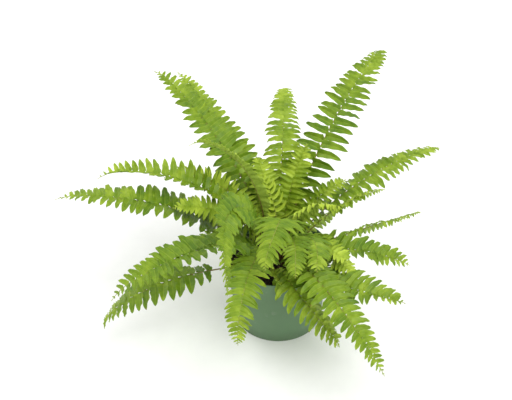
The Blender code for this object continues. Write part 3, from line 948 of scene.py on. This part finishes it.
def make_pot():
    pot = link_mesh("nursery_pot", turned_mesh("nursery_pot", pot_profile(), POT_STEPS), pot_material())
    cut_drain_holes(pot)
    pot.data.shade_smooth()
    pot.data.set_sharp_from_angle(angle=POT_SHARP_ANGLE)
    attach(pot, "root")
    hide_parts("pot")


# ---------------------------------------------------------------- potting mix and crown

def mix_surface_height(x, y):
    """Height of the potting mix's top, with its lumps."""
    lumps = sum(height * noise.noise(Vector((x * fineness, y * fineness, layer)))
                for fineness, height, layer in LUMPS)
    return mix_height(math.hypot(x, y)) + lumps


def make_mix_body(material):
    """The mix as one closed solid with a lumpy top."""
    floor_top = MIX_LOW.z + FLOOR_LIFT
    outline = (
        (PAD_RADIUS - FLOOR_LIFT - MIX_GAP, MIX_LOW.z),
        (PAD_RADIUS - MIX_GAP, floor_top),
        (inner_radius(floor_top) - EDGE - MIX_GAP, floor_top),
        (MIX_RADIUS, MIX_EDGE_HEIGHT),
    )
    rings = [circle(radius, height, MIX_STEPS) for radius, height in outline]
    for number in range(MIX_RINGS - 1, 0, -1):
        level = circle(MIX_RADIUS * number / MIX_RINGS, 0, MIX_STEPS)
        rings.append([(x, y, mix_surface_height(x, y)) for x, y, _ in level])
    build = bmesh.new()
    verts = [[build.verts.new(point) for point in ring] for ring in rings]
    bottom = build.verts.new((0, 0, MIX_LOW.z))
    top = build.verts.new((0, 0, mix_surface_height(0, 0)))
    skin_rings(build, verts, bottom, top)
    mesh = built_mesh(build, "potting_mix_bed")
    mesh.shade_smooth()
    return link_mesh("potting_mix_bed", mesh, material)


def make_crumbs(material):
    """Broken bark and peat crumbs lying on the mix."""
    rng = random.Random(CRUMB_SEED)
    build = bmesh.new()
    for _ in range(CRUMBS):
        radius = (MIX_RADIUS - CRUMB_MARGIN) * math.sqrt(rng.random())
        angle = rng.uniform(0, math.tau)
        x = radius * math.cos(angle)
        y = radius * math.sin(angle)
        size = rng.uniform(*CRUMB_SIZES)
        made = bmesh.ops.create_icosphere(build, subdivisions=1, radius=size)["verts"]
        shape = Vector([rng.uniform(*limits) for limits in CRUMB_STRETCH])
        turn = Matrix.Rotation(rng.uniform(0, math.tau), 3, "Z")
        turn = turn @ Matrix.Rotation(rng.uniform(-CRUMB_LEAN, CRUMB_LEAN), 3, "X")
        centre = Vector((x, y, mix_surface_height(x, y) + size * CRUMB_LIFT))
        variety = Vector((x, y, 0)) * CRUMB_VARIETY
        for vert in made:
            rough = 1 + CRUMB_ROUGHNESS * noise.noise(vert.co * CRUMB_GRAIN + variety)
            vert.co = centre + turn @ (vert.co * shape * rough)
    return link_mesh("bark_crumbs", built_mesh(build, "bark_crumbs"), material)


def make_fibres(material):
    """Fine roots and peat fibres lying on the mix."""
    rng = random.Random(FIBRE_SEED)
    build = bmesh.new()
    for _ in range(FIBRES):
        radius = FIBRE_INNER + FIBRE_SPAN * rng.random()
        angle = rng.uniform(0, math.tau)
        heading = rng.uniform(0, math.tau)
        x = radius * math.cos(angle)
        y = radius * math.sin(angle)
        points = []
        for _ in range(FIBRE_POINTS):
            if math.hypot(x, y) > FIBRE_LIMIT:
                break
            points.append(Vector((x, y, mix_surface_height(x, y) + FIBRE_LIFT)))
            heading += rng.uniform(-FIBRE_WANDER, FIBRE_WANDER)
            x += FIBRE_STEP * math.cos(heading)
            y += FIBRE_STEP * math.sin(heading)
        if len(points) > 2:
            add_tapered_tube(build, points, rng.uniform(*FIBRE_RADII), FIBRE_SIDES)
    mesh = built_mesh(build, "root_fibres")
    mesh.shade_smooth()
    return link_mesh("root_fibres", mesh, material)


def shape_crown_core(build):
    """Presses a unit ball into a low knobby lump on the potting mix."""
    middle = Vector((0, 0, CROWN_LOW.z))
    wide = CROWN_RADIUS * CORE_WIDTH
    size = Vector((wide, wide, CROWN_HEIGHT * CORE_HEIGHT))
    for vert in build.verts:
        knobs = sum(height * noise.noise(vert.co * fineness) for fineness, height in KNOBS)
        vert.co = middle + vert.co * size * (1 + knobs)


def crown_scale_points(rng):
    """Points along one narrow scale, which leans outwards and up and sags at its tip."""
    lift = rng.uniform(*SCALE_LIFTS)
    angle = rng.uniform(0, math.tau)
    out = math.sqrt(1 - (lift * HIGHEST_SCALE) ** 2)
    normal = Vector((out * math.cos(angle), out * math.sin(angle), lift)).normalized()
    size = Vector((CROWN_RADIUS, CROWN_RADIUS, CROWN_HEIGHT))
    start = Vector((0, 0, CROWN_LOW.z)) + normal * size * SCALE_ROOT
    wander = Vector((rng.uniform(-SCALE_WANDER, SCALE_WANDER), rng.uniform(-SCALE_WANDER, SCALE_WANDER), 0))
    lean = (normal * SCALE_OUTWARD + Vector((0, 0, SCALE_UPWARD)) + wander).normalized()
    length = rng.uniform(*SCALE_LENGTHS)
    return [start + lean * length * share - Vector((0, 0, SCALE_SAG * share ** 2)) for share in SCALE_STOPS]


def make_crown(material):
    """A knobby rhizome covered in narrow overlapping scales."""
    rng = random.Random(CROWN_SEED)
    build = bmesh.new()
    bmesh.ops.create_icosphere(build, subdivisions=CORE_DETAIL, radius=1.0)
    shape_crown_core(build)
    for _ in range(SCALES):
        add_tapered_tube(build, crown_scale_points(rng), SCALE_RADIUS, SCALE_SIDES)
    mesh = built_mesh(build, "crown_rhizome")
    mesh.shade_smooth()
    mesh.set_sharp_from_angle(angle=CROWN_SHARP_ANGLE)
    crown = link_mesh("crown_rhizome", mesh, material)
    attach(crown, "root")
    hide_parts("crown")


def make_potting_mix():
    """The bed of mix, with crumbs and fibres of bark lying on it."""
    bed = make_mix_body(mix_material())
    bark = bark_material()
    for piece in (bed, make_crumbs(bark), make_fibres(bark)):
        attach(piece, "root")
    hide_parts("potting_mix")


# ---------------------------------------------------------------- studio

def make_camera():
    """A camera that looks along +Y and down, rolled about its own line of sight."""
    data = bpy.data.cameras.new("camera")
    data.lens = CAMERA_LENS
    data.sensor_width = SENSOR_WIDTH
    data.clip_start = CLIP_START
    data.clip_end = CLIP_END
    right = Vector((1, 0, 0))
    forward = Vector((0, math.cos(CAMERA_PITCH), -math.sin(CAMERA_PITCH)))
    up = Vector((0, math.sin(CAMERA_PITCH), math.cos(CAMERA_PITCH)))
    rolled_right = right * math.cos(CAMERA_ROLL) - up * math.sin(CAMERA_ROLL)
    rolled_up = right * math.sin(CAMERA_ROLL) + up * math.cos(CAMERA_ROLL)
    turn = Matrix((rolled_right, rolled_up, -forward)).transposed()
    camera = bpy.data.objects.new("camera", data)
    camera.matrix_world = Matrix.Translation(CAMERA_PLACE) @ turn.to_4x4()
    bpy.context.scene.collection.objects.link(camera)
    bpy.context.scene.camera = camera


def make_sun(name, direction, strength):
    """Light from a wide soft source."""
    data = bpy.data.lights.new(name, "SUN")
    data.energy = strength
    data.angle = SUN_SPREAD
    light = bpy.data.objects.new(name, data)
    light.rotation_euler = Vector(direction).to_track_quat("Z", "Y").to_euler()
    bpy.context.scene.collection.objects.link(light)


def make_studio():
    """A white sky, two soft suns and a pale floor."""
    world = bpy.data.worlds.new("studio")
    world.use_nodes = True
    sky = world.node_tree.nodes["Background"]
    sky.inputs["Color"].default_value = (1.0, 1.0, 1.0, 1.0)
    sky.inputs["Strength"].default_value = SKY_STRENGTH
    bpy.context.scene.world = world
    bpy.context.scene.view_settings.view_transform = "Standard"
    make_sun("key", KEY_DIRECTION, KEY_STRENGTH)
    make_sun("back", BACK_DIRECTION, BACK_STRENGTH)
    build = bmesh.new()
    bmesh.ops.create_grid(build, x_segments=FLOOR_CELLS, y_segments=FLOOR_CELLS, size=FLOOR_HALF_SIZE)
    floor = link_mesh("floor", built_mesh(build, "floor"), floor_material())


# ---------------------------------------------------------------- assembly


def main():
    make_camera()
    make_studio()
    make_pot()
    make_potting_mix()
    make_crown(crown_material())
    frond_materials = (leaf_material(), stalk_material())
    for number, frond in enumerate(FRONDS, start=1):
        make_frond(number, frond, frond_materials)


main()
